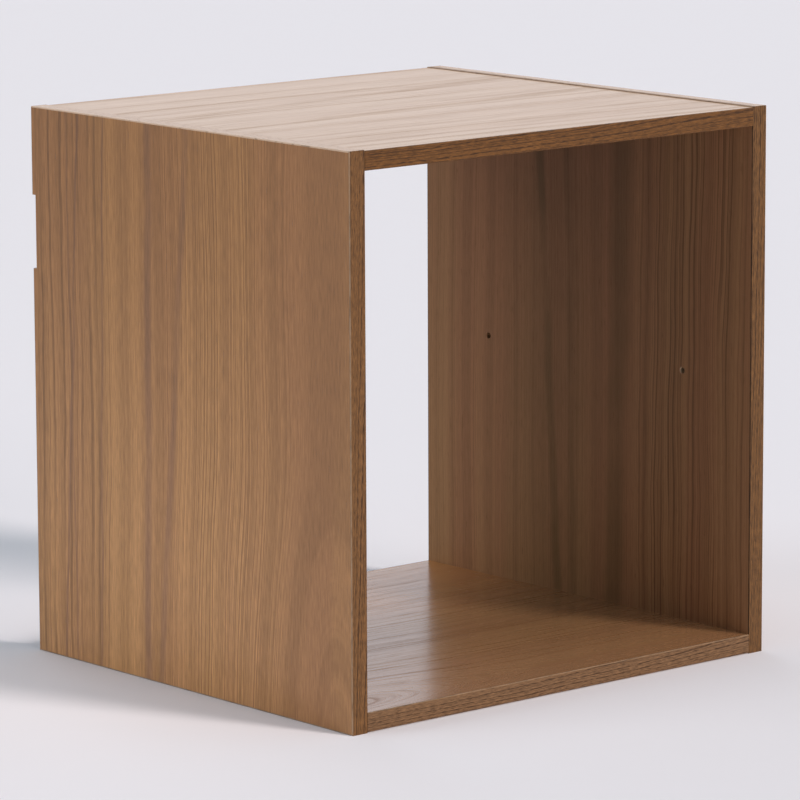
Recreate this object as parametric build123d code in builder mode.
# Cube storage unit, open at the front and at the back.
# Two side boards carry a top board and a bottom board between them on dowels and cam locks.
# The origin is the centre of the footprint on the floor, the front faces -Y, and +Z is up.
import os
from math import sqrt

from build123d import *

os.makedirs("parts", exist_ok=True)

# Overall size
WIDTH = 430.0
DEPTH = 390.0
HEIGHT = 440.0

# Boards: a core with a veneer on both faces, and thicker bands glued on the edges
BOARD = 15.0
VENEER = 0.6
BAND = 1.0
ARRIS = 0.7
SIDE_LIP = 0.6              # the side boards stand this far past the top and bottom boards

# Notch in the rear edge of each side board, the seat of a plate that ties the unit to its neighbour
NOTCH_HEIGHT = 59.0
NOTCH_DEPTH = 4.5
NOTCH_WIDTH = 10.0          # in from the outer face, so that the inner face's edge is unbroken
NOTCH_FROM_TOP = 70.5

# Holes for loose shelf pins, halfway up the inner faces
PIN_HOLE = 5.0
PIN_HOLE_DEPTH = 10.0
PIN_FROM_EDGE = 78.0

# Dowels across each joint
DOWEL = 8.0
DOWEL_LENGTH = 30.0
DOWEL_IN_SIDE = 10.0
DOWEL_FROM_EDGE = 114.0
DOWEL_CLEARANCE = 0.05
DOWEL_END_GAP = 0.5
DOWEL_CHAMFER = 1.0

# Cam locks, sunk into the undersides of the top and bottom boards
CAM_BORE = 15.0
CAM_FROM_EDGE = 50.0
CAM_FROM_SIDE = 24.0
CAM_CLEARANCE = 0.15        # round the cam
CAM_END_GAP = 0.2           # under its face and above its open end
CAM_PAST_BOLT = 4.5         # the bore runs this far past the bolt's axis
CAM_WALL = 1.3              # thinnest wall, at the entry hole
CAM_THROW = 0.45            # the cavity sits this far off the cam's axis and draws the bolt in
CAM_CHAMFER = 0.4
CROSS_FLOOR = 1.2           # metal left above the driver cross
CROSS_LENGTH = 7.0
CROSS_WIDTH = 1.3
POINTER = 1.3
POINTER_DEPTH = 0.4

# Cam bolts, screwed into the side boards
EDGE_BORE = 8.0
BOLT_HEAD = 6.0
BOLT_HEAD_LENGTH = 2.6
BOLT_NECK = 3.5
BOLT_SHANK = 7.0
BOLT_THREAD = 4.9
BOLT_THREAD_LENGTH = 11.0
BOLT_HOLE = 5.0
BOLT_END_GAP = 0.5
HEAD_CLEARANCE = 0.1        # head to cavity wall, at the tightest angle
NECK_CLEARANCE = 0.3        # neck to slot
ENTRY_CLEARANCE = 0.6       # head to entry hole
SHANK_GAP = 1.5             # shank to cam bore

# Places worked out from the sizes
INNER_X = WIDTH / 2 - BOARD
FRONT_Y = -DEPTH / 2
REAR_Y = DEPTH / 2
UNDERSIDES = {"top": HEIGHT - SIDE_LIP - BOARD, "bottom": SIDE_LIP}
SIDES = {"left": -1, "right": 1}
ROWS = {"front": -1, "rear": 1}
CAM_Y = DEPTH / 2 - CAM_FROM_EDGE
CAM_X = INNER_X - CAM_FROM_SIDE
DOWEL_Y = DEPTH / 2 - DOWEL_FROM_EDGE
PIN_Y = DEPTH / 2 - PIN_FROM_EDGE
NOTCH_Z = HEIGHT - NOTCH_FROM_TOP - NOTCH_HEIGHT / 2
CAM_BORE_DEPTH = BOARD / 2 + CAM_PAST_BOLT
CAM_RADIUS = CAM_BORE / 2 - CAM_CLEARANCE
CAVITY_RADIUS = CAM_RADIUS - CAM_WALL - CAM_THROW
LOCKED_RADIUS = CAVITY_RADIUS - CAM_THROW
ENTRY_RADIUS = BOLT_HEAD / 2 + ENTRY_CLEARANCE
SLOT = BOLT_NECK + 2 * NECK_CLEARANCE
CAVITY_FLOOR = BOARD / 2 - ENTRY_RADIUS
JOINT_HEIGHTS = [underside + BOARD / 2 for underside in UNDERSIDES.values()]


def write(piece, node):
    """Name a finished piece and save it."""
    piece.label = node
    export_step(piece, f"parts/{node}.step")


def both_rows(y, heights):
    """Points (y, z) at the same distance before and behind the middle, at each height."""
    return [(row * y, z) for row in ROWS.values() for z in heights]


def drill(plane, points, diameter, depth):
    """Blind holes in the piece being built, from a plane along its normal or against it."""
    with BuildSketch(plane) as holes:
        with Locations(*points):
            Circle(diameter / 2)
    extrude(holes.sketch, amount=depth, mode=Mode.SUBTRACT)


def cut_notch(sign):
    """The notch in a side board's rear edge, cut in from its outer face."""
    with BuildSketch(Plane.YZ.offset(sign * WIDTH / 2)) as notch:
        with Locations((REAR_Y, NOTCH_Z)):
            Rectangle(2 * NOTCH_DEPTH, NOTCH_HEIGHT)
    extrude(notch.sketch, amount=-sign * NOTCH_WIDTH, mode=Mode.SUBTRACT)


def side_layer(sign, start, end):
    """One layer of a side board, between two depths measured in from its outer face."""
    nearer_x = min(sign * (WIDTH / 2 - start), sign * (WIDTH / 2 - end))
    inner_face = Plane.YZ.offset(sign * INNER_X)
    with BuildPart() as layer:
        with BuildSketch(Plane.YZ.offset(nearer_x)):
            with Locations((0, HEIGHT / 2)):
                Rectangle(DEPTH - 2 * BAND, HEIGHT - 2 * BAND)
        extrude(amount=end - start)
        cut_notch(sign)
        drill(inner_face, both_rows(PIN_Y, [HEIGHT / 2]), PIN_HOLE, sign * PIN_HOLE_DEPTH)
        drill(inner_face, both_rows(CAM_Y, JOINT_HEIGHTS), BOLT_HOLE,
              sign * (BOLT_THREAD_LENGTH + BOLT_END_GAP))
        drill(inner_face, both_rows(DOWEL_Y, JOINT_HEIGHTS), DOWEL + 2 * DOWEL_CLEARANCE,
              sign * (DOWEL_IN_SIDE + DOWEL_END_GAP))
    return layer.part


def upright_band(sign, rear):
    """Edge band over a side board's front or rear edge, rounded except where it meets board and floor."""
    inner_y = REAR_Y - BAND if rear else FRONT_Y + BAND
    with BuildPart() as band:
        with BuildSketch(Plane.XZ.offset(-inner_y)):
            with Locations((sign * (WIDTH / 2 - BOARD / 2), HEIGHT / 2)):
                Rectangle(BOARD, HEIGHT)
        extrude(amount=-BAND if rear else BAND)
        glued_face = band.faces().sort_by(Axis.Y)[0 if rear else -1]
        foot = band.faces().sort_by(Axis.Z)[0]
        fillet(band.edges() - glued_face.edges() - foot.edges(), radius=ARRIS)
        if rear:
            cut_notch(sign)
    return band.part


def flat_band(sign, at_top):
    """Edge band over a side board's top or bottom edge, between its front and rear bands."""
    with BuildPart() as band:
        with BuildSketch(Plane.XY.offset(HEIGHT - BAND if at_top else 0)):
            with Locations((sign * (WIDTH / 2 - BOARD / 2), 0)):
                Rectangle(BOARD, DEPTH - 2 * BAND)
        extrude(amount=BAND)
        long_edges = band.edges().filter_by(Axis.Y)
        fillet(long_edges.group_by(Axis.Z)[-1 if at_top else 0], radius=ARRIS)
    return band.part


def panel_layer(underside, start, end):
    """One layer of the top or bottom board, between two heights measured from its underside."""
    with BuildPart() as layer:
        with BuildSketch(Plane.XY.offset(underside + start)):
            Rectangle(2 * INNER_X, DEPTH - 2 * BAND)
        extrude(amount=end - start)
        cams = [(sign * CAM_X, row * CAM_Y) for sign in SIDES.values() for row in ROWS.values()]
        drill(Plane.XY.offset(underside), cams, CAM_BORE, CAM_BORE_DEPTH)
        for sign in SIDES.values():
            end_face = Plane.YZ.offset(sign * INNER_X)
            middle = [underside + BOARD / 2]
            drill(end_face, both_rows(CAM_Y, middle), EDGE_BORE, -sign * CAM_FROM_SIDE)
            drill(end_face, both_rows(DOWEL_Y, middle), DOWEL + 2 * DOWEL_CLEARANCE,
                  -sign * (DOWEL_LENGTH - DOWEL_IN_SIDE + DOWEL_END_GAP))
    return layer.part


def panel_band(underside, rear):
    """Edge band along the front or rear edge of the top or bottom board."""
    inner_y = REAR_Y - BAND if rear else FRONT_Y + BAND
    with BuildPart() as band:
        with BuildSketch(Plane.XZ.offset(-inner_y)):
            with Locations((0, underside + BOARD / 2)):
                Rectangle(2 * INNER_X, BOARD)
        extrude(amount=-BAND if rear else BAND)
        long_edges = band.edges().filter_by(Axis.X)
        fillet(long_edges.group_by(Axis.Y)[-1 if rear else 0], radius=ARRIS)
    return band.part


def cam(seat):
    """Cam of one lock, shown locked: the bolt lies along the seat plane's x direction.

    Turned by half a turn, the wider side of the off-centre cavity and the entry hole face the bolt.
    """
    axis = Axis(seat.origin, seat.z_dir)
    lengthwise = Plane(seat.origin, x_dir=seat.x_dir, z_dir=-seat.y_dir)
    crosswise = Plane(seat.origin, x_dir=seat.y_dir, z_dir=seat.x_dir)
    with BuildPart() as body:
        with BuildSketch(seat.offset(CAM_END_GAP)):
            Circle(CAM_RADIUS)
        extrude(amount=CAM_BORE_DEPTH - 2 * CAM_END_GAP)
        chamfer(body.edges().sort_by(Axis.Z)[0], length=CAM_CHAMFER)
        with BuildSketch(seat.offset(CAVITY_FLOOR)):
            with Locations((-CAM_THROW, 0)):
                Circle(CAVITY_RADIUS)
        extrude(amount=CAM_BORE_DEPTH, mode=Mode.SUBTRACT)
        with BuildSketch(lengthwise):
            with Locations((0, BOARD / 2)):
                Rectangle(CAM_BORE, SLOT, align=(Align.MIN, Align.CENTER))
        revolve(axis=axis, revolution_arc=180, mode=Mode.SUBTRACT)
        drill(crosswise, [(0, BOARD / 2)], SLOT, CAM_BORE)
        drill(crosswise, [(0, BOARD / 2)], 2 * ENTRY_RADIUS, -CAM_BORE)
        with BuildSketch(seat.offset(CAM_END_GAP)):
            Rectangle(CROSS_LENGTH, CROSS_WIDTH)
            Rectangle(CROSS_WIDTH, CROSS_LENGTH)
        extrude(amount=CAVITY_FLOOR - CAM_END_GAP - CROSS_FLOOR, mode=Mode.SUBTRACT)
        with BuildSketch(seat.offset(CAM_END_GAP)):
            with Locations((CROSS_LENGTH / 2 + POINTER, 0)):
                RegularPolygon(radius=POINTER, side_count=3)
        extrude(amount=POINTER_DEPTH, mode=Mode.SUBTRACT)
    return body.part


def cam_bolts(sign):
    """The four cam bolts of one side, turned profiles with their heads caught in the cams.

    The cone behind the head spans a sphere about the cam's axis, so that the cavity slides past it.
    """
    shoulder_radius = LOCKED_RADIUS - HEAD_CLEARANCE
    head_end = sqrt(shoulder_radius**2 - (BOLT_HEAD / 2) ** 2)
    neck_start = sqrt(shoulder_radius**2 - (BOLT_NECK / 2) ** 2)
    shank_start = CAM_BORE / 2 + SHANK_GAP
    thread_end = CAM_FROM_SIDE + BOLT_THREAD_LENGTH
    profile = [
        (head_end - BOLT_HEAD_LENGTH, 0),
        (head_end - BOLT_HEAD_LENGTH, BOLT_HEAD / 2),
        (head_end, BOLT_HEAD / 2),
        (neck_start, BOLT_NECK / 2),
        (shank_start, BOLT_NECK / 2),
        (shank_start, BOLT_SHANK / 2),
        (CAM_FROM_SIDE, BOLT_SHANK / 2),
        (CAM_FROM_SIDE, BOLT_THREAD / 2),
        (thread_end, BOLT_THREAD / 2),
        (thread_end, 0),
    ]
    with BuildPart() as bolts:
        for y, z in both_rows(CAM_Y, JOINT_HEIGHTS):
            cam_axis = (sign * CAM_X, y, z)
            with BuildSketch(Plane(cam_axis, x_dir=(sign, 0, 0), z_dir=(0, -sign, 0))):
                with BuildLine():
                    Polyline(*profile, close=True)
                make_face()
            revolve(axis=Axis(cam_axis, (sign, 0, 0)))
    return bolts.part


def dowels(underside):
    """The four dowels of the top or bottom board, chamfered at both ends."""
    peg_ends = [
        Plane((sign * (INNER_X + DOWEL_IN_SIDE), y, z), x_dir=(0, 1, 0), z_dir=(-sign, 0, 0))
        for sign in SIDES.values()
        for y, z in both_rows(DOWEL_Y, [underside + BOARD / 2])
    ]
    with BuildPart() as pegs:
        with BuildSketch(*peg_ends):
            Circle(DOWEL / 2)
        extrude(amount=DOWEL_LENGTH)
        chamfer(pegs.edges().filter_by(GeomType.CIRCLE), length=DOWEL_CHAMFER)
    return pegs.part


# Side boards
for side, sign in SIDES.items():
    write(side_layer(sign, 0, VENEER), f"{side}_side_outer_veneer")
    write(side_layer(sign, VENEER, BOARD - VENEER), f"{side}_side_core")
    write(side_layer(sign, BOARD - VENEER, BOARD), f"{side}_side_inner_veneer")
    write(upright_band(sign, rear=False), f"{side}_side_front_band")
    write(upright_band(sign, rear=True), f"{side}_side_rear_band")
    write(flat_band(sign, at_top=True), f"{side}_side_top_band")
    write(flat_band(sign, at_top=False), f"{side}_side_bottom_band")
    write(cam_bolts(sign), f"{side}_cam_bolts")

# Top and bottom boards
for level, underside in UNDERSIDES.items():
    write(panel_layer(underside, 0, VENEER), f"{level}_panel_lower_veneer")
    write(panel_layer(underside, VENEER, BOARD - VENEER), f"{level}_panel_core")
    write(panel_layer(underside, BOARD - VENEER, BOARD), f"{level}_panel_upper_veneer")
    write(panel_band(underside, rear=False), f"{level}_panel_front_band")
    write(panel_band(underside, rear=True), f"{level}_panel_rear_band")
    write(dowels(underside), f"{level}_dowels")

# One cam at each end of each joint
for level, underside in UNDERSIDES.items():
    for side, sign in SIDES.items():
        for row, row_sign in ROWS.items():
            seat = Plane((sign * CAM_X, row_sign * CAM_Y, underside), x_dir=(sign, 0, 0), z_dir=(0, 0, 1))
            write(cam(seat), f"{level}_{side}_{row}_cam")
